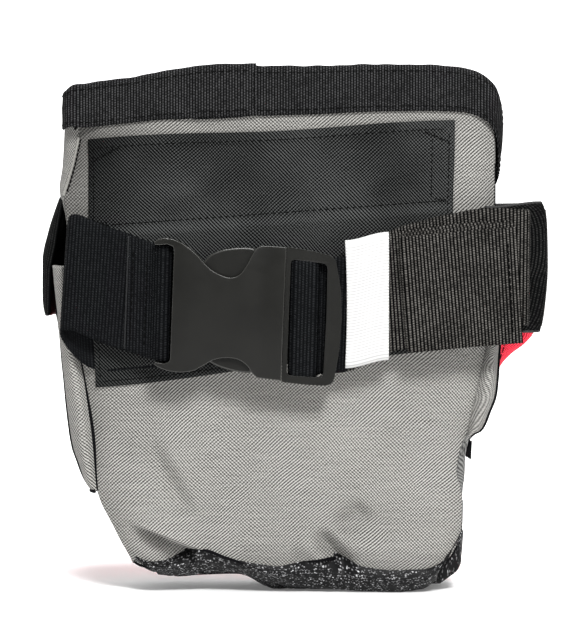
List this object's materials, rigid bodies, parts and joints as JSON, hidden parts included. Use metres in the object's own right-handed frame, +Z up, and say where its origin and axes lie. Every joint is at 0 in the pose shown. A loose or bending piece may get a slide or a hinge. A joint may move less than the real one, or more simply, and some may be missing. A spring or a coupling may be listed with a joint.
{
  "type": "waist belt pouch",
  "caption": "Soft waist-belt dive pouch with a draining mesh bottom, a wraparound front pocket, a belt tunnel on the back, and a webbing belt with a side-release buckle.",
  "frame": {"origin": "on the underside of the mesh bottom's plane, under the middle of the whole outline", "axes": "+Z up, out of the pouch's mouth; +Y from the belt side towards the front pocket; +X to the right when the buckle is faced"},
  "size_m": [0.22, 0.1168, 0.232],
  "materials": {
    "grey_cloth": "matte two-tone woven polyester",
    "black_cloth": "matte woven polyester",
    "red_cloth": "matte woven polyester",
    "mesh": "coarse knitted draining mesh",
    "binding_webbing": "matte cross-ribbed webbing",
    "belt_webbing": "matte cross-ribbed webbing",
    "seam_tape": "matte binding tape",
    "black_thread": "polyester thread",
    "stiffener_plastic": "flat polyethylene strip",
    "buckle_plastic": "moulded acetal, fine satin texture",
    "white_band": "smooth white elastic"
  },
  "bodies": {
    "pouch": {"back_panel": "grey_cloth", "front_panel": "grey_cloth", "left_gusset": "grey_cloth", "right_gusset": "grey_cloth", "mesh_bottom": "mesh", "rim_webbing": "binding_webbing", "rim_stiffener": "stiffener_plastic", "front_pocket_panel": "red_cloth", "front_pocket_left_gusset": "grey_cloth", "front_pocket_right_gusset": "grey_cloth", "front_pocket_mouth_band": "binding_webbing", "seam_piping_left": "seam_tape", "seam_piping_right": "seam_tape", "belt_tunnel_panel": "black_cloth", "tunnel_bar_tacks": "black_thread"},
    "belt_socket_side": {"belt_webbing_fixed": "belt_webbing", "buckle_socket": "buckle_plastic"},
    "belt_plug_side": {"belt_webbing_adjustable": "belt_webbing", "belt_tail": "belt_webbing", "buckle_plug": "buckle_plastic"},
    "upper_latch": {"latch_arm_upper": "buckle_plastic"},
    "lower_latch": {"latch_arm_lower": "buckle_plastic"},
    "keeper": {"strap_keeper": "white_band"}
  },
  "joints": [
    {"name": "belt_slide", "type": "slide", "parent": "pouch", "child": "belt_socket_side", "axis": [1, 0, 0], "range_m": [-0.012, 0.003]},
    {"name": "buckle_slide", "type": "slide", "parent": "belt_socket_side", "child": "belt_plug_side", "axis": [0.9969, 0, -0.0785], "range_m": [0, 0.038], "deforming": ["latch_arm_upper", "latch_arm_lower"]},
    {"name": "upper_latch_squeeze", "type": "hinge", "parent": "belt_plug_side", "child": "upper_latch", "pos_m": [-0.00506, -0.0521, 0.14056], "axis": [0, -1, 0], "range_deg": [0, 18], "stiffness_Nm_per_rad": 0.3},
    {"name": "lower_latch_squeeze", "type": "hinge", "parent": "belt_plug_side", "child": "lower_latch", "pos_m": [-0.00773, -0.0521, 0.10666], "axis": [0, 1, 0], "range_deg": [0, 18], "stiffness_Nm_per_rad": 0.3},
    {"name": "keeper_slide", "type": "slide", "parent": "belt_plug_side", "child": "keeper", "axis": [0.9511, 0, 0.309], "range_m": [0, 0.0035]}
  ]
}
